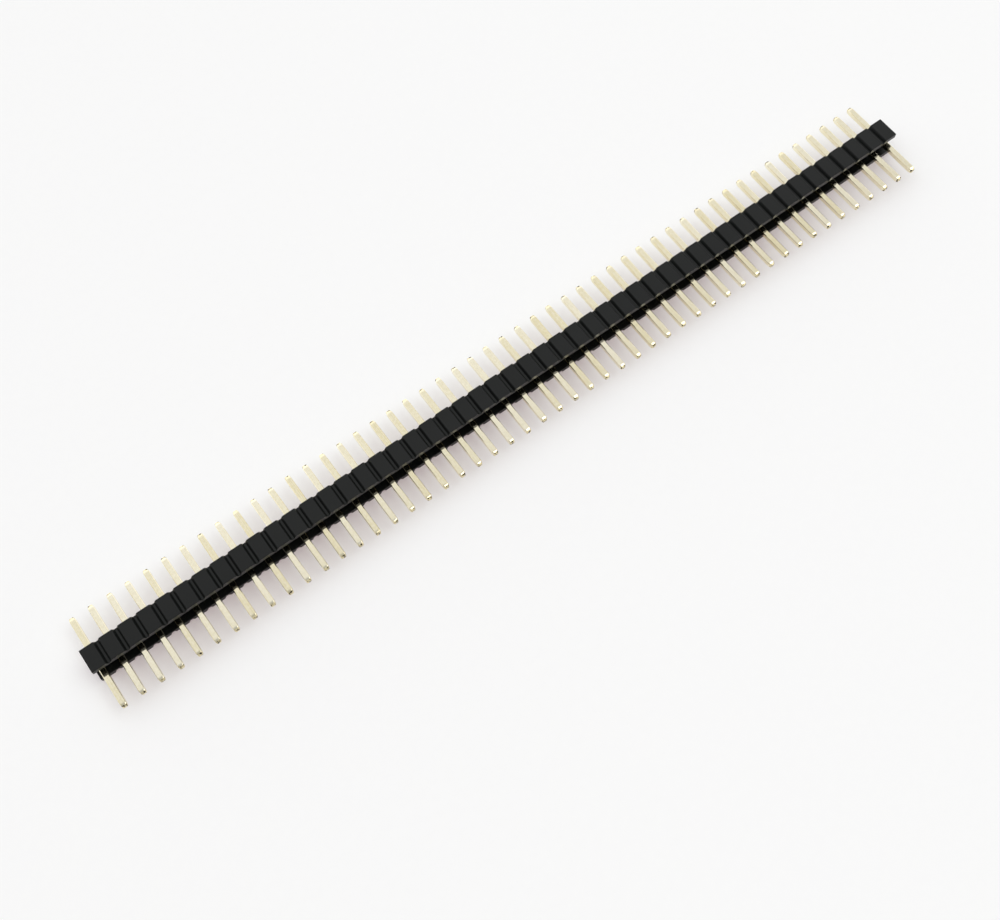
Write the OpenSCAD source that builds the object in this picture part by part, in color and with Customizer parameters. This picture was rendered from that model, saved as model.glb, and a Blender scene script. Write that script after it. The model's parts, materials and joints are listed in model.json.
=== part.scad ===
// Straight single-row pin header strip.
// A black moulded insulator, notched between every two positions, holds one
// square wire pin at each position. The strip lies on a broad side: X runs
// along the row, Y along the pins from the solder tails to the mating ends,
// and Z up through the thickness. The origin is under the middle of the
// strip, on the surface that it lies on.

/* [Row] */
// Number of positions, one pin each
positions = 50; // [2:1:99]
// Distance between neighbouring pins
pitch = 1.27; // [1.05:0.01:2.54]
// From an end pin's centre to the cut end of the insulator
end_margin = 0.475; // [0.4:0.005:0.52]

/* [Insulator] */
// Thickness between the two broad sides
body_t = 2.10; // [1.7:0.05:3]
// Depth along the pins, from the seating rails to the mating face
body_d = 1.60; // [1.2:0.05:3]
// Width of a notch at the broad side
notch_w = 0.40; // [0.3:0.01:0.5]
// Width of a notch at its floor
notch_floor_w = 0.14; // [0.05:0.01:0.2]
// Depth of a notch into the broad side
notch_d = 0.22; // [0.1:0.01:0.27]
// Radius of the shoulders on both sides of a notch
shoulder_r = 0.06; // [0.02:0.01:0.08]

/* [Solder side channel] */
// Depth of the channel that keeps solder and flux off the insulator
channel_d = 0.50; // [0.3:0.05:0.9]
// Thickness of the seating rail on each side of the channel
rail_t = 0.38; // [0.27:0.01:0.5]

/* [Pins] */
// Width of the square wire
pin_w = 0.40; // [0.3:0.01:0.5]
// Length of a solder tail beyond the seating rails
tail_len = 2.50; // [1.5:0.1:4]
// Length of a mating end beyond the mating face
mating_len = 2.40; // [1.5:0.1:8]
// Length of the coined taper at each end of a pin
tip_len = 0.25; // [0.1:0.05:0.5]
// Width of the flat left at the end of the taper
tip_w = 0.28; // [0.05:0.01:0.29]

/* [Fit] */
// Gap around a pin in its hole: nothing, because the pins are pressed in
hole_gap = 0; // [0:0.005:0.02]
// Width of the lead-in chamfer around each hole in the mating face
lead_in = 0.08; // [0.02:0.01:0.12]

/* [Hidden] */
function pin_name(i) = str("pin_", i < 10 ? "0" : "", i);

row_len = (positions - 1) * pitch;
body_len = row_len + 2 * end_margin;
mid_z = body_t / 2;
pin_len = tail_len + body_d + mating_len;
seat_y = tail_len - pin_len / 2;
mating_y = seat_y + body_d;
hole_w = pin_w + 2 * hole_gap;
reach = 1;          // how far a cutter runs past the face it opens
shoulder_steps = 3; // flats in each rounded shoulder

// Place of pin i along the row, and of the notch after it
function pin_x(i) = (i - 1) * pitch - row_len / 2;
function notch_x(i) = pin_x(i) + pitch / 2;

// Angle of a notch's flank from the broad side
flank = atan2(notch_d, (notch_w - notch_floor_w) / 2);
// How far a shoulder's tangent points lie from its corner
shoulder_run = shoulder_r * tan(flank / 2);

// Points of one flank's rounded shoulder, from the broad side down the flank,
// for a corner at the origin with the flat towards -X
function shoulder() = [for (s = [0 : shoulder_steps]) let (a = flank * s / shoulder_steps)
    [-shoulder_run + shoulder_r * sin(a), -shoulder_r * (1 - cos(a))]];

// Outline of one notch in the upper broad side, from left to right: the notch
// runs the whole depth of the insulator, through the rails as well
function notch_outline(x) = concat(
    [for (p = shoulder()) [x - notch_w / 2 + p[0], body_t + p[1]]],
    [[x - notch_floor_w / 2, body_t - notch_d], [x + notch_floor_w / 2, body_t - notch_d]],
    [for (s = [shoulder_steps : -1 : 0]) [x + notch_w / 2 - shoulder()[s][0], body_t + shoulder()[s][1]]]);

// Upper edge of the section, from the left end to the right end
upper_edge = concat([[-body_len / 2, body_t]],
    [for (i = [1 : positions - 1]) each notch_outline(notch_x(i))],
    [[body_len / 2, body_t]]);
// Lower edge, the upper one mirrored and run back
lower_edge = [for (i = [len(upper_edge) - 1 : -1 : 0])
    [upper_edge[i][0], body_t - upper_edge[i][1]]];

// Extrudes a section drawn in X and Z along the pins, from y
module along_pins(y, length)
    translate([0, y + length, 0]) rotate([90, 0, 0]) linear_extrude(length) children();

// Section through the insulator across the pins
module section() difference() {
    polygon(concat(upper_edge, lower_edge));
    for (i = [1 : positions])
        translate([pin_x(i), mid_z]) square(hole_w, center = true);
}

// Channel between the two seating rails, open at both ends of the strip
module channel()
    translate([-body_len / 2 - reach, seat_y - reach, rail_t])
        cube([body_len + 2 * reach, channel_d + reach, body_t - 2 * rail_t]);

// Square funnels around the holes in the mating face, all in one comb
module lead_ins() {
    wide = hole_w + 2 * lead_in;
    depth = lead_in;
    intersection() {
        translate([0, mating_y, 0]) linear_extrude(body_t) for (i = [1 : positions])
            translate([pin_x(i), 0])
                polygon([[-hole_w / 2, -depth], [hole_w / 2, -depth], [wide / 2, 0],
                         [wide / 2, reach], [-wide / 2, reach], [-wide / 2, 0]]);
        translate([-body_len / 2, mating_y, mid_z]) rotate([90, 0, 90])
            linear_extrude(body_len)
                polygon([[-depth, -hole_w / 2], [0, -wide / 2], [reach, -wide / 2],
                         [reach, wide / 2], [0, wide / 2], [-depth, hole_w / 2]]);
    }
}

module insulator() color("#2c2e2d") difference() {
    along_pins(seat_y, body_d) section();
    channel();
    lead_ins();
}

// Side view of a pin, tapered at both ends
module pin_profile() polygon([
    [-pin_w / 2, -pin_len / 2 + tip_len], [-tip_w / 2, -pin_len / 2],
    [tip_w / 2, -pin_len / 2], [pin_w / 2, -pin_len / 2 + tip_len],
    [pin_w / 2, pin_len / 2 - tip_len], [tip_w / 2, pin_len / 2],
    [-tip_w / 2, pin_len / 2], [-pin_w / 2, pin_len / 2 - tip_len]]);

// One pin: its side view taken in both directions
module pin(i) color("#d9cfa6") translate([pin_x(i), 0, mid_z]) intersection() {
    translate([0, 0, -pin_w / 2]) linear_extrude(pin_w) pin_profile();
    translate([-pin_w / 2, 0, 0]) rotate([0, 90, 0]) linear_extrude(pin_w) pin_profile();
}

insulator();
for (i = [1 : positions])
    pin(i);
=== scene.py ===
"""Finishes of a straight single-row pin header strip.

A notched black insulator holds a row of drawn, gold-flashed square pins.
"""
import json
import logging
import math
from dataclasses import dataclass
from enum import Enum
from typing import Any, NamedTuple

import bmesh
import bpy
from mathutils import Matrix, Vector

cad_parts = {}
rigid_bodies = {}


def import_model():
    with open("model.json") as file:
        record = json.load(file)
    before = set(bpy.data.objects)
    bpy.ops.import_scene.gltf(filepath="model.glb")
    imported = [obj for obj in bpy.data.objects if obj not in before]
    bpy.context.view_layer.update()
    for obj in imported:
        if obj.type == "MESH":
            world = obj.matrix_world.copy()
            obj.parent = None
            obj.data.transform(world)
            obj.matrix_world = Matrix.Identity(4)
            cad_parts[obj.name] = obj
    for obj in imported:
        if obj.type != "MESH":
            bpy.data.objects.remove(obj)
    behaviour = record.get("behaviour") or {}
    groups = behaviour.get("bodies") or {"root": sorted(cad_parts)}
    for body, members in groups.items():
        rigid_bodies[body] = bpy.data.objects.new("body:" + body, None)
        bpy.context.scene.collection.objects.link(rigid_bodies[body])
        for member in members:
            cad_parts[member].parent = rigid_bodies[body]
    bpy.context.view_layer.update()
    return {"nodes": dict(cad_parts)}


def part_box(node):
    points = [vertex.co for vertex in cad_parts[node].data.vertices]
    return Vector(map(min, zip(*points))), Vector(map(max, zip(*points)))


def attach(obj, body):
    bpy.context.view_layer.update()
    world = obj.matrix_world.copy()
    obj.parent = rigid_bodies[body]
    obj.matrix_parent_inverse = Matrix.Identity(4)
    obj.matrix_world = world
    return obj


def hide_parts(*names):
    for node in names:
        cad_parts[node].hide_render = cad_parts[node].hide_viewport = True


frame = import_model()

MM = 0.001
ROOT = "root"
NOISE_LOW, NOISE_HIGH = 0.3, 0.7  # most of a noise pattern's values lie between these
HEX_PAIRS = (1, 3, 5)             # where the red, green and blue digits start, after the hash
LOG = logging.getLogger("pin_header")


def srgb(code: str) -> tuple[float, float, float, float]:
    """Turn a colour written in sRGB hex to linear light, by the curve of the sRGB standard.

    Args:
        code: six hex digits after a hash sign.

    Returns:
        Red, green, blue and an alpha of 1, as the shader sockets take them.
    """
    shares = [int(code[i:i + 2], 16) / 255 for i in HEX_PAIRS]
    linear = [s / 12.92 if s <= 0.04045 else ((s + 0.055) / 1.055) ** 2.4 for s in shares]
    return (*linear, 1.0)


def add(tree: bpy.types.NodeTree, kind: str, sockets: dict[str | int, Any] | None = None,
        **settings: Any) -> bpy.types.Node:
    """Add a node with its settings, its values and its incoming links.

    Args:
        tree: the tree that the node joins.
        kind: Blender's name for the kind of node.
        sockets: input by name or number, with a value or the output that feeds it.
        **settings: the node's own properties.

    Returns:
        The new node.
    """
    node = tree.nodes.new(kind)
    for name, value in settings.items():
        setattr(node, name, value)
    for key, value in (sockets or {}).items():
        if isinstance(value, bpy.types.NodeSocket):
            tree.links.new(value, node.inputs[key])
        else:
            node.inputs[key].default_value = value
    return node


def blend(tree: bpy.types.NodeTree, share: bpy.types.NodeSocket,
          first: str, second: str) -> bpy.types.NodeSocket:
    """Blend two sRGB colours.

    Args:
        tree: the tree that the blend joins.
        share: output that says how much of the second colour shows.
        first: colour at a share of 0.
        second: colour at a share of 1.

    Returns:
        The blended colour's output.
    """
    factor, colour_a, colour_b, colour_out = 0, 6, 7, 2  # the Mix node's sockets for colours
    mix = add(tree, "ShaderNodeMix", {
        factor: share, colour_a: srgb(first), colour_b: srgb(second)}, data_type="RGBA")
    return mix.outputs[colour_out]


def shown(tree: bpy.types.NodeTree) -> bpy.types.NodeSocket:
    """Tell rays that see a surface, straight or in metal or glass, from rays that gather light.

    Args:
        tree: the tree that the answer joins.

    Returns:
        The output, 1 for a camera, glossy or transmission ray.
    """
    path = add(tree, "ShaderNodeLightPath").outputs
    seen = add(tree, "ShaderNodeMath", {
        0: path["Is Camera Ray"], 1: path["Is Glossy Ray"]}, operation="ADD")
    either = add(tree, "ShaderNodeMath", {
        0: seen.outputs[0], 1: path["Is Transmission Ray"]}, operation="ADD", use_clamp=True)
    return either.outputs[0]


def blank_material(name: str) -> tuple[bpy.types.Material, bpy.types.NodeTree]:
    """Start a material with an empty tree.

    Args:
        name: what the real material is and how it was made.

    Returns:
        The material and its tree.
    """
    material = bpy.data.materials.new(name)
    material.use_nodes = True
    material.node_tree.nodes.clear()
    return material, material.node_tree


class Wall(NamedTuple):
    """A lit wall of the light tent.

    towards is the direction that its light comes from, lit is the light it gives straight ahead,
    looks is how bright it is to see or to find in metal, and both fade to the sides with the
    cosine raised to fade.
    """

    towards: tuple[float, float, float]
    lit: float
    looks: float
    fade: float


class Panel(Enum):
    """The lit walls of the light tent, named for the part of the strip that they stand by."""

    MATING_SIDE = Wall(towards=(0.0, 1.0, 0.0), lit=0.92, looks=1.0, fade=1.0)
    FIRST_CORNER = Wall(towards=(-0.47, 0.51, 0.72), lit=0.56, looks=0.0, fade=3.0)
    OVERHEAD = Wall(towards=(0.0, 0.0, 1.0), lit=1.08, looks=0.0, fade=2.0)


@dataclass(frozen=True)
class MouldedInsulator:
    """Glass-filled black thermoplastic, injection moulded against a lightly etched tool.

    The fibres give a satin skin, a little uneven in gloss, with faint flow lines along the row.
    """

    deep: str = "#0f1110"
    light: str = "#161817"
    light_least: float = 0.15        # share of the light tone that shows even in the grain's lows
    grain: float = 0.11 * MM         # drawn coarser than a real etched skin's, so that it shows
    grain_detail: float = 3.0
    flow: float = 1.6 * MM
    flow_detail: float = 2.0
    flow_stretch: float = 0.25       # scale along the row, where flow lines run four times longer
    roughness: tuple[float, float] = (0.30, 0.40)
    ior: float = 1.33                # under the plastic's usual 1.5 to 1.6, for a subdued gloss
    relief: float = 0.0016 * MM

    def build(self) -> bpy.types.Material:
        """Make the material from its sizes.

        Returns:
            The material.
        """
        material, tree = blank_material("moulded_glass_filled_thermoplastic")
        place = add(tree, "ShaderNodeTexCoord").outputs["Object"]
        grain = add(tree, "ShaderNodeTexNoise", {
            "Vector": place, "Scale": 1 / self.grain, "Detail": self.grain_detail})
        along = add(tree, "ShaderNodeMapping", {
            "Vector": place, "Scale": (self.flow_stretch, 1.0, 1.0)})
        flow = add(tree, "ShaderNodeTexNoise", {
            "Vector": along.outputs[0], "Scale": 1 / self.flow, "Detail": self.flow_detail})
        both = add(tree, "ShaderNodeMath", {
            0: grain.outputs[0], 1: flow.outputs[0], 2: self.light_least},
            operation="MULTIPLY_ADD")
        colour = blend(tree, both.outputs[0], self.deep, self.light)
        gloss = add(tree, "ShaderNodeMapRange", {
            "Value": flow.outputs[0], "From Min": NOISE_LOW, "From Max": NOISE_HIGH,
            "To Min": self.roughness[0], "To Max": self.roughness[1]})
        bump = add(tree, "ShaderNodeBump", {
            "Height": grain.outputs[0], "Strength": 1.0, "Distance": self.relief})
        skin = add(tree, "ShaderNodeBsdfPrincipled", {
            "Base Color": colour, "Roughness": gloss.outputs[0],
            "Normal": bump.outputs[0], "IOR": self.ior})
        add(tree, "ShaderNodeOutputMaterial", {"Surface": skin.outputs[0]})
        return material


@dataclass(frozen=True)
class GoldFlash:
    """Thin gold flash over nickel on square brass wire drawn through a die.

    The flash is pale, and a little deeper from pin to pin. The die leaves fine lines along the
    wire, and the nickel under the flash is faintly uneven, which mottles what the flats mirror.
    """

    pale: str = "#fbf5de"
    deep: str = "#e8dcae"
    line: float = 0.03 * MM          # drawn coarser than real die lines, so that they show
    line_length: float = 2.5 * MM
    line_detail: float = 3.0
    line_relief: float = 0.0004 * MM
    roughness: tuple[float, float] = (0.05, 0.12)
    nap: float = 0.16 * MM           # drawn coarser than the real unevenness, so that it shows
    nap_detail: float = 1.0
    nap_spread: tuple[float, float] = (0.35, 0.65)
    nap_tone: float = 0.2            # how far a patch goes towards the deeper tone
    nap_relief: float = 0.0012 * MM

    def build(self, pitch: float) -> bpy.types.Material:
        """Make the material.

        Args:
            pitch: distance between pins, which gives each pin its own tone.

        Returns:
            The material.
        """
        material, tree = blank_material("gold_flash_on_drawn_brass_wire")
        place = add(tree, "ShaderNodeTexCoord").outputs["Object"]
        x_place = add(tree, "ShaderNodeSeparateXYZ", {0: place}).outputs[0]
        number = add(tree, "ShaderNodeMath", {0: x_place, 1: 1 / pitch}, operation="MULTIPLY")
        whole = add(tree, "ShaderNodeMath", {0: number.outputs[0]}, operation="FLOOR")
        tone = add(tree, "ShaderNodeTexWhiteNoise", {"W": whole.outputs[0]}, noise_dimensions="1D")
        stretch = add(tree, "ShaderNodeMapping", {
            "Vector": place, "Scale": (1.0, self.line / self.line_length, 1.0)})
        drawn = add(tree, "ShaderNodeTexNoise", {
            "Vector": stretch.outputs[0], "Scale": 1 / self.line, "Detail": self.line_detail})
        nap = add(tree, "ShaderNodeTexNoise", {
            "Vector": place, "Scale": 1 / self.nap, "Detail": self.nap_detail})
        patches = add(tree, "ShaderNodeMapRange", {
            "Value": nap.outputs[0], "From Min": self.nap_spread[0],
            "From Max": self.nap_spread[1], "To Max": self.nap_tone})
        mixed = add(tree, "ShaderNodeMath", {
            0: tone.outputs[0], 1: drawn.outputs[0], 2: patches.outputs[0]},
            operation="MULTIPLY_ADD")
        colour = blend(tree, mixed.outputs[0], self.pale, self.deep)
        gloss = add(tree, "ShaderNodeMapRange", {
            "Value": drawn.outputs[0], "From Min": NOISE_LOW, "From Max": NOISE_HIGH,
            "To Min": self.roughness[0], "To Max": self.roughness[1]})
        bump = add(tree, "ShaderNodeBump", {
            "Height": drawn.outputs[0], "Strength": 1.0, "Distance": self.line_relief})
        uneven = add(tree, "ShaderNodeBump", {
            "Height": nap.outputs[0], "Strength": 1.0, "Distance": self.nap_relief,
            "Normal": bump.outputs[0]})
        plate = add(tree, "ShaderNodeBsdfPrincipled", {
            "Base Color": colour, "Metallic": 1.0, "Roughness": gloss.outputs[0],
            "Normal": uneven.outputs[0]})
        add(tree, "ShaderNodeOutputMaterial", {"Surface": plate.outputs[0]})
        return material


@dataclass(frozen=True)
class ShearedBrass:
    """Bare brass where the plated wire was cut off: half shorn smooth, half fractured with painted
    dark reflection.
    """

    bright: str = "#e9dcb0"
    # near black of the fractured patches: painted dark reflection over real fractured brass
    fractured_painted_dark: str = "#2a2116"
    tear: float = 0.13 * MM
    tear_detail: float = 2.0
    fracture_dark_edge: tuple[float, float] = (0.5, 0.58)  # noise between which smooth turns to fractured brass in painted dark
    tear_relief: float = 0.004 * MM
    roughness: float = 0.30

    def build(self) -> bpy.types.Material:
        """Make the material.

        Returns:
            The material.
        """
        material, tree = blank_material("sheared_bare_brass")
        place = add(tree, "ShaderNodeTexCoord").outputs["Object"]
        noise = add(tree, "ShaderNodeTexNoise", {
            "Vector": place, "Scale": 1 / self.tear, "Detail": self.tear_detail})
        # mask of the fractured patches, which take the painted dark reflection
        fracture_painted_dark_mask = add(tree, "ShaderNodeMapRange", {
            "Value": noise.outputs[0], "From Min": self.fracture_dark_edge[0],
            "From Max": self.fracture_dark_edge[1]})
        colour = blend(tree, fracture_painted_dark_mask.outputs[0], self.bright, self.fractured_painted_dark)
        bump = add(tree, "ShaderNodeBump", {
            "Height": noise.outputs[0], "Strength": 1.0, "Distance": self.tear_relief})
        metal = add(tree, "ShaderNodeBsdfPrincipled", {
            "Base Color": colour, "Metallic": 1.0, "Roughness": self.roughness,
            "Normal": bump.outputs[0]})
        add(tree, "ShaderNodeOutputMaterial", {"Surface": metal.outputs[0]})
        return material


@dataclass(frozen=True)
class WhiteCard:
    """Smooth, very pale card that the strip lies on.

    Its pale pink glow is added for looks, and real card has none. It lightens and tints the
    strip's shade, and shows in the gold. Rays that gather light don't meet it, so it lights
    nothing.
    """

    white: str = "#f2fdfb"
    shade: str = "#f0fbf9"
    fibre: float = 0.6 * MM
    roughness: float = 0.9
    ior: float = 1.2                 # set low, because uncoated card has hardly any gloss
    glow: str = "#ffdae1"
    glow_share: float = 0.25

    def build(self) -> bpy.types.Material:
        """Make the material.

        Returns:
            The material.
        """
        material, tree = blank_material("smooth_white_card")
        place = add(tree, "ShaderNodeTexCoord").outputs["Object"]
        noise = add(tree, "ShaderNodeTexNoise", {"Vector": place, "Scale": 1 / self.fibre})
        colour = blend(tree, noise.outputs[0], self.white, self.shade)
        card = add(tree, "ShaderNodeBsdfPrincipled", {
            "Base Color": colour, "Roughness": self.roughness, "IOR": self.ior})
        glow = add(tree, "ShaderNodeEmission", {"Color": srgb(self.glow), "Strength": 1.0})
        share = add(tree, "ShaderNodeMath", {
            0: shown(tree), 1: self.glow_share}, operation="MULTIPLY")
        both = add(tree, "ShaderNodeMixShader", {
            0: share.outputs[0], 1: card.outputs[0], 2: glow.outputs[0]})
        add(tree, "ShaderNodeOutputMaterial", {"Surface": both.outputs[0]})
        return material


@dataclass
class PinRow:
    """The row of square pins, each with rolled edges, coined tips and sheared ends."""

    names: list[str]
    edge_radius: float = 0.08 * MM
    edge_flats: int = 5
    tip_len: float = 0.25 * MM
    tip_share: float = 0.68          # width at a pin's very end, as a share of the wire's
    tip_flats: int = 6
    smear: float = 0.34              # faces that point along the pin more than this are sheared
    seed: int = 7
    press_spread: float = 0.03 * MM
    lean: float = math.radians(0.35)

    def stations(self, low: Vector, high: Vector) -> list[tuple[float, float]]:
        """Places along a pin with the share of its full width at each.

        Args:
            low: lowest corner of a pin's box.
            high: highest corner of a pin's box.

        Returns:
            Pairs of a place along Y and a share of the width, from solder end to mating end.
        """
        flats = [step / self.tip_flats for step in range(self.tip_flats + 1)]
        head = [(self.tip_len * part, 1 - (1 - self.tip_share) * (1 - part) ** 2)
                for part in flats]
        tail = [(high.y - low.y - place, width) for place, width in reversed(head)]
        return [(low.y + place, width) for place, width in head + tail]

    def spine(self, low: Vector, high: Vector) -> bpy.types.Object:
        """Make the line of stations that one pin is drawn along.

        Args:
            low: lowest corner of a pin's box.
            high: highest corner of a pin's box.

        Returns:
            An object of loose edges with the width share on each point.
        """
        stations = self.stations(low, high)
        mesh = bpy.data.meshes.new("pins")
        middle = (low.z + high.z) / 2
        mesh.from_pydata([(0.0, y, middle) for y, _ in stations],
                         [(i, i + 1) for i in range(len(stations) - 1)], [])
        share = mesh.attributes.new("share", "FLOAT", "POINT")
        share.data.foreach_set("value", [width for _, width in stations])
        piece = bpy.data.objects.new("pins", mesh)
        bpy.context.scene.collection.objects.link(piece)
        return piece

    def tree(self, plate: bpy.types.Material, sheared: bpy.types.Material) -> bpy.types.NodeTree:
        """Build the tree that draws one pin and repeats it along the row.

        Args:
            plate: finish of the plated sides.
            sheared: finish of the cut ends.

        Returns:
            The tree.
        """
        tree = bpy.data.node_groups.new("pin_row", "GeometryNodeTree")
        face = tree.interface
        face.new_socket("Geometry", in_out="INPUT", socket_type="NodeSocketGeometry")
        for name, kind in (("Width", "Float"), ("Edge radius", "Float"), ("Pitch", "Float"),
                           ("First", "Float"), ("Count", "Int"), ("Press spread", "Float"),
                           ("Lean", "Float"), ("Seed", "Int")):
            face.new_socket(name, in_out="INPUT", socket_type="NodeSocket" + kind)
        face.new_socket("Geometry", in_out="OUTPUT", socket_type="NodeSocketGeometry")
        given = add(tree, "NodeGroupInput").outputs
        section = add(tree, "GeometryNodeCurvePrimitiveQuadrilateral", {
            "Width": given["Width"], "Height": given["Width"]})
        rolled = add(tree, "GeometryNodeFilletCurve", {
            "Curve": section.outputs[0], "Count": self.edge_flats,
            "Radius": given["Edge radius"]}, mode="POLY")
        share = add(tree, "GeometryNodeInputNamedAttribute", {"Name": "share"}, data_type="FLOAT")
        line = add(tree, "GeometryNodeMeshToCurve", {"Mesh": given["Geometry"]})
        drawn = add(tree, "GeometryNodeCurveToMesh", {
            "Curve": line.outputs[0], "Profile Curve": rolled.outputs[0],
            "Scale": share.outputs["Attribute"], "Fill Caps": True})
        flat = add(tree, "GeometryNodeSetShadeSmooth", {
            "Geometry": drawn.outputs[0], "Shade Smooth": False})
        start = add(tree, "ShaderNodeCombineXYZ", {0: given["First"]})
        step = add(tree, "ShaderNodeCombineXYZ", {0: given["Pitch"]})
        places = add(tree, "GeometryNodeMeshLine", {
            "Count": given["Count"], "Start Location": start.outputs[0],
            "Offset": step.outputs[0]})
        lean_low = add(tree, "ShaderNodeMath", {0: given["Lean"], 1: -1.0}, operation="MULTIPLY")
        lean_from = add(tree, "ShaderNodeCombineXYZ", {2: lean_low.outputs[0]})
        lean_to = add(tree, "ShaderNodeCombineXYZ", {2: given["Lean"]})
        turn = add(tree, "FunctionNodeRandomValue", {
            "Min": lean_from.outputs[0], "Max": lean_to.outputs[0], "Seed": given["Seed"]},
            data_type="FLOAT_VECTOR")
        row = add(tree, "GeometryNodeInstanceOnPoints", {
            "Points": places.outputs[0], "Instance": flat.outputs[0], "Rotation": turn.outputs[0]})
        press_low = add(tree, "ShaderNodeMath", {
            0: given["Press spread"], 1: -1.0}, operation="MULTIPLY")
        press_from = add(tree, "ShaderNodeCombineXYZ", {1: press_low.outputs[0]})
        press_to = add(tree, "ShaderNodeCombineXYZ", {1: given["Press spread"]})
        press = add(tree, "FunctionNodeRandomValue", {
            "Min": press_from.outputs[0], "Max": press_to.outputs[0], "Seed": given["Seed"]},
            data_type="FLOAT_VECTOR")
        pressed = add(tree, "GeometryNodeTranslateInstances", {
            "Instances": row.outputs[0], "Translation": press.outputs[0], "Local Space": True})
        normal = add(tree, "GeometryNodeInputNormal")
        parts = add(tree, "ShaderNodeSeparateXYZ", {0: normal.outputs[0]})
        facing = add(tree, "ShaderNodeMath", {0: parts.outputs[1]}, operation="ABSOLUTE")
        cut = add(tree, "ShaderNodeMath", {
            0: facing.outputs[0], 1: self.smear}, operation="GREATER_THAN")
        solid = add(tree, "GeometryNodeRealizeInstances", {"Geometry": pressed.outputs[0]})
        plated = add(tree, "GeometryNodeSetMaterial", {
            "Geometry": solid.outputs[0], "Material": plate})
        ended = add(tree, "GeometryNodeSetMaterial", {
            "Geometry": plated.outputs[0], "Selection": cut.outputs[0], "Material": sheared})
        add(tree, "NodeGroupOutput", {"Geometry": ended.outputs[0]})
        return tree

    def build(self) -> bpy.types.Object:
        """Draw, repeat and dress the pins, and put them in place of the plain ones.

        Returns:
            One mesh of all the pins.
        """
        low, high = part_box(self.names[0])
        last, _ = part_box(self.names[-1])
        width = high.x - low.x
        pitch = (last.x - low.x) / (len(self.names) - 1)
        plate = GoldFlash().build(pitch)
        sheared = ShearedBrass().build()
        piece = self.spine(low, high)
        modifier = piece.modifiers.new("pin_row", "NODES")
        tree = self.tree(plate, sheared)
        values = {"Width": width, "Edge radius": self.edge_radius, "Pitch": pitch,
                  "First": (low.x + high.x) / 2, "Count": len(self.names),
                  "Press spread": self.press_spread, "Lean": self.lean, "Seed": self.seed}
        modifier.node_group = tree
        for socket in tree.interface.items_tree:
            if socket.in_out == "INPUT" and socket.name in values:
                modifier[socket.identifier] = values[socket.name]
        piece.update_tag()
        graph = bpy.context.evaluated_depsgraph_get()
        mesh = bpy.data.meshes.new_from_object(piece.evaluated_get(graph), depsgraph=graph)
        piece.modifiers.clear()
        piece.data = mesh
        mesh.name = "pins"
        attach(piece, ROOT)
        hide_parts(*self.names)
        LOG.info("pins: %d faces", len(mesh.polygons))
        return piece


@dataclass
class Insulator:
    """The moulded body that holds the pins, with a mould's small radius on its outer edges."""

    name: str = "insulator"
    edge_radius: float = 0.03 * MM
    edge_flats: int = 3
    edge_profile: float = 0.5        # a round bevel
    sharp: float = math.radians(35)  # least angle of an edge that is rounded
    level: float = math.radians(1)   # faces that differ less than this become one
    hair: float = 0.001 * MM         # how far a point may lie from a face and still be on it
    weld: float = 0.0001 * MM        # points nearer than this become one
    rim_share: float = 0.25          # share of the thickness that is the mating face's rim

    def outer(self, edge: bmesh.types.BMEdge, low: Vector, high: Vector) -> bool:
        """Tell an edge on the outside of the body from a hole's rim.

        Args:
            edge: the edge.
            low: lowest corner of the body's box.
            high: highest corner of the body's box.

        Returns:
            Whether it is a sharp outward corner of a rail, an end or the mating face's outline.
        """
        if not edge.is_manifold or not edge.is_convex or edge.calc_face_angle() < self.sharp:
            return False
        ends = [vertex.co for vertex in edge.verts]
        rim = (high.z - low.z) * self.rim_share
        on_rails = all(point.y - low.y < self.hair for point in ends)
        on_mating_rim = all(high.y - point.y < self.hair and
                            min(point.z - low.z, high.z - point.z) < rim for point in ends)
        at_end = any(all(abs(point.x - side) < self.hair for point in ends)
                     for side in (low.x, high.x))
        return on_rails or on_mating_rim or at_end

    def build(self) -> bpy.types.Object:
        """Copy the body, round its outer edges and give it its moulded finish.

        Returns:
            The rounded body, in place of the plain one.
        """
        low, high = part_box(self.name)
        form = bmesh.new()
        form.from_mesh(frame["nodes"][self.name].data)
        bmesh.ops.remove_doubles(form, verts=form.verts, dist=self.weld)
        bmesh.ops.dissolve_limit(form, angle_limit=self.level, verts=form.verts, edges=form.edges)
        edges = [edge for edge in form.edges if self.outer(edge, low, high)]
        bmesh.ops.bevel(form, geom=edges, offset=self.edge_radius, offset_type="OFFSET",
                        segments=self.edge_flats, profile=self.edge_profile, affect="EDGES",
                        clamp_overlap=True)
        mesh = bpy.data.meshes.new("body")
        form.to_mesh(mesh)
        form.free()
        mesh.materials.append(MouldedInsulator().build())
        piece = bpy.data.objects.new("body", mesh)
        bpy.context.scene.collection.objects.link(piece)
        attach(piece, ROOT)
        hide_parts(self.name)
        LOG.info("body: %d faces, %d edges rounded", len(mesh.polygons), len(edges))
        return piece


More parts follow.
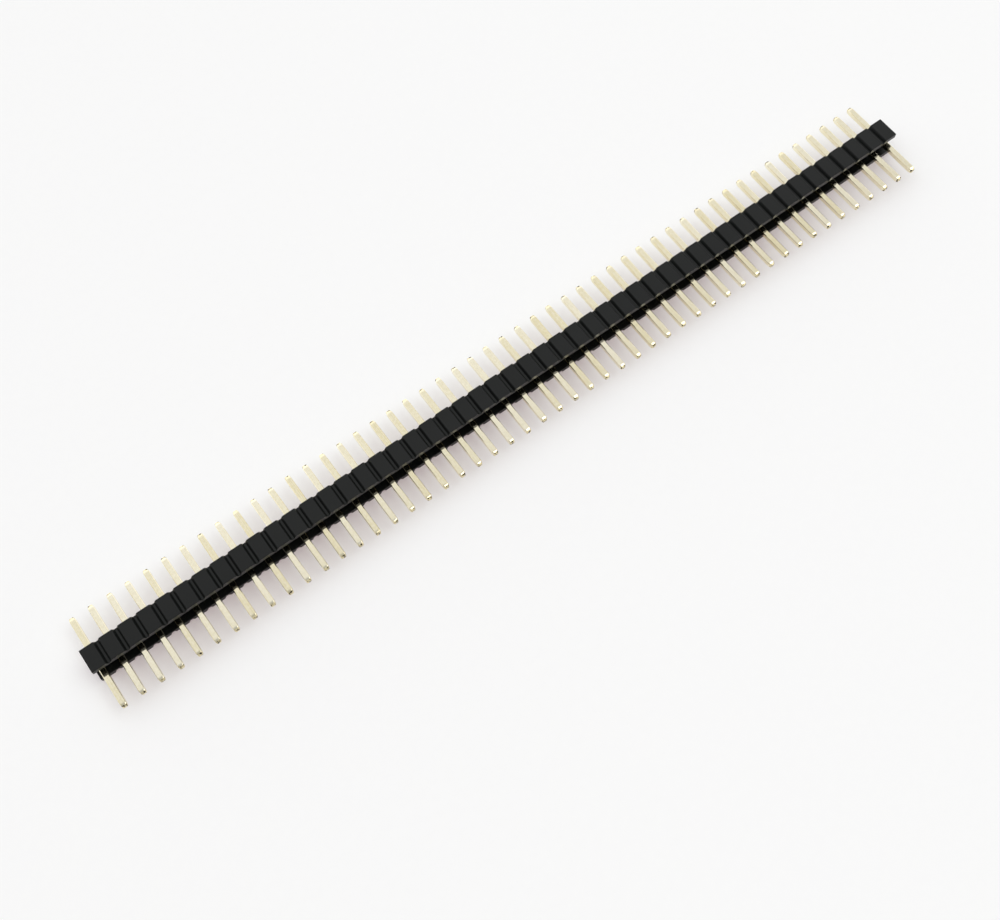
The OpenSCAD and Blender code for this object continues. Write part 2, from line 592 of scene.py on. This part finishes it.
@dataclass
class Studio:
    """Card floor, soft light and camera.

    The tent's cloth is as bright to look at as horizon where it meets the floor, and fades to
    cloth at sweep_height, the sine of an angle. That look shows in the gold but lights nothing:
    the light comes from the lit walls and the lamp.
    """

    floor_size: float = 3.0
    horizon: float = 1.0
    cloth: float = 0.5
    sweep_height: float = 0.3
    tent_colour: str = "#ffffff"
    lamp_azimuth: float = math.radians(115)
    lamp_height: float = math.radians(62)
    lamp_watts: float = 1.16
    lamp_colour: str = "#fffffe"
    lamp_size: float = 0.55
    lamp_far: float = 0.75
    camera_place: tuple[float, float, float] = (-21.77 * MM, -28.93 * MM, 73.03 * MM)
    azimuth: float = math.radians(34.38)
    dip: float = math.radians(67.0)
    roll: float = math.radians(-2.13)
    lens: float = 45.02              # focal length and sensor width in the camera's millimetres
    sensor: float = 36.0
    near_limit: float = 2 * MM
    far_limit: float = 10.0

    def floor(self) -> None:
        """Lay the white card under the strip."""
        half = self.floor_size / 2
        mesh = bpy.data.meshes.new("floor")
        mesh.from_pydata([(-half, -half, 0), (half, -half, 0), (half, half, 0), (-half, half, 0)],
                         [], [(0, 1, 2, 3)])
        mesh.materials.append(WhiteCard().build())
        card = bpy.data.objects.new("floor", mesh)
        bpy.context.scene.collection.objects.link(card)

    def light(self) -> None:
        """Light the strip from the panels of a tent and one soft lamp."""
        world = bpy.data.worlds.new("studio")
        world.use_nodes = True
        tree = world.node_tree
        tree.nodes.clear()
        way = add(tree, "ShaderNodeTexCoord").outputs["Generated"]
        seen = shown(tree)
        height = add(tree, "ShaderNodeSeparateXYZ", {0: way}).outputs[2]
        sweep = add(tree, "ShaderNodeMapRange", {
            "Value": height, "From Max": self.sweep_height,
            "To Min": self.horizon, "To Max": self.cloth})
        level = add(tree, "ShaderNodeMath", {0: seen, 1: sweep.outputs[0]}, operation="MULTIPLY")
        for wall in (panel.value for panel in Panel):
            ahead = add(tree, "ShaderNodeVectorMath", {
                0: way, 1: wall.towards}, operation="DOT_PRODUCT")
            faced = add(tree, "ShaderNodeMath", {
                0: ahead.outputs["Value"], 1: 0.0}, operation="MAXIMUM")
            faded = add(tree, "ShaderNodeMath", {
                0: faced.outputs[0], 1: wall.fade}, operation="POWER")
            share = add(tree, "ShaderNodeMapRange", {
                "Value": seen, "To Min": wall.lit, "To Max": wall.looks})
            level = add(tree, "ShaderNodeMath", {
                0: faded.outputs[0], 1: share.outputs[0], 2: level.outputs[0]},
                operation="MULTIPLY_ADD")
        tent = add(tree, "ShaderNodeBackground", {
            "Color": srgb(self.tent_colour), "Strength": level.outputs[0]})
        add(tree, "ShaderNodeOutputWorld", {"Surface": tent.outputs[0]})
        bpy.context.scene.world = world
        self.lamp()

    def lamp(self) -> None:
        """Hang the soft lamp over the solder side, turned to the strip."""
        light = bpy.data.lights.new("softbox", "AREA")
        light.shape, light.size, light.energy = "DISK", self.lamp_size, self.lamp_watts
        light.color = srgb(self.lamp_colour)[:3]
        hung = bpy.data.objects.new("softbox", light)
        level = math.cos(self.lamp_height)
        towards = Vector((math.sin(self.lamp_azimuth) * level, math.cos(self.lamp_azimuth) * level,
                          math.sin(self.lamp_height)))
        hung.rotation_euler = towards.to_track_quat("Z", "Y").to_euler()
        hung.location = towards * self.lamp_far
        bpy.context.scene.collection.objects.link(hung)

    def camera(self) -> None:
        """Stand the camera over the solder side, near the first pins."""
        lens = bpy.data.cameras.new("camera")
        lens.lens, lens.sensor_width = self.lens, self.sensor
        lens.clip_start, lens.clip_end = self.near_limit, self.far_limit
        camera = bpy.data.objects.new("camera", lens)
        ahead = Vector((math.sin(self.azimuth) * math.cos(self.dip),
                        math.cos(self.azimuth) * math.cos(self.dip), -math.sin(self.dip)))
        right = Vector((math.cos(self.azimuth), -math.sin(self.azimuth), 0.0))
        up = right.cross(ahead)
        turned = math.cos(self.roll) * right + math.sin(self.roll) * up
        above = math.cos(self.roll) * up - math.sin(self.roll) * right
        axes = Matrix((turned, above, -ahead)).transposed().to_4x4()
        camera.matrix_world = Matrix.Translation(self.camera_place) @ axes
        bpy.context.scene.collection.objects.link(camera)
        bpy.context.scene.camera = camera

    def build(self) -> None:
        """Set up the floor, the light and the camera."""
        self.floor()
        self.light()
        self.camera()
        bpy.context.scene.view_settings.view_transform = "Standard"
        LOG.info("studio: floor, softbox and camera")


def main() -> None:
    """Dress the strip and set it in its studio."""
    logging.basicConfig(level=logging.INFO, format="%(message)s")
    Studio().build()
    Insulator().build()
    PinRow(sorted(name for name in frame["nodes"] if name.startswith("pin_"))).build()


if __name__ == "__main__":
    main()
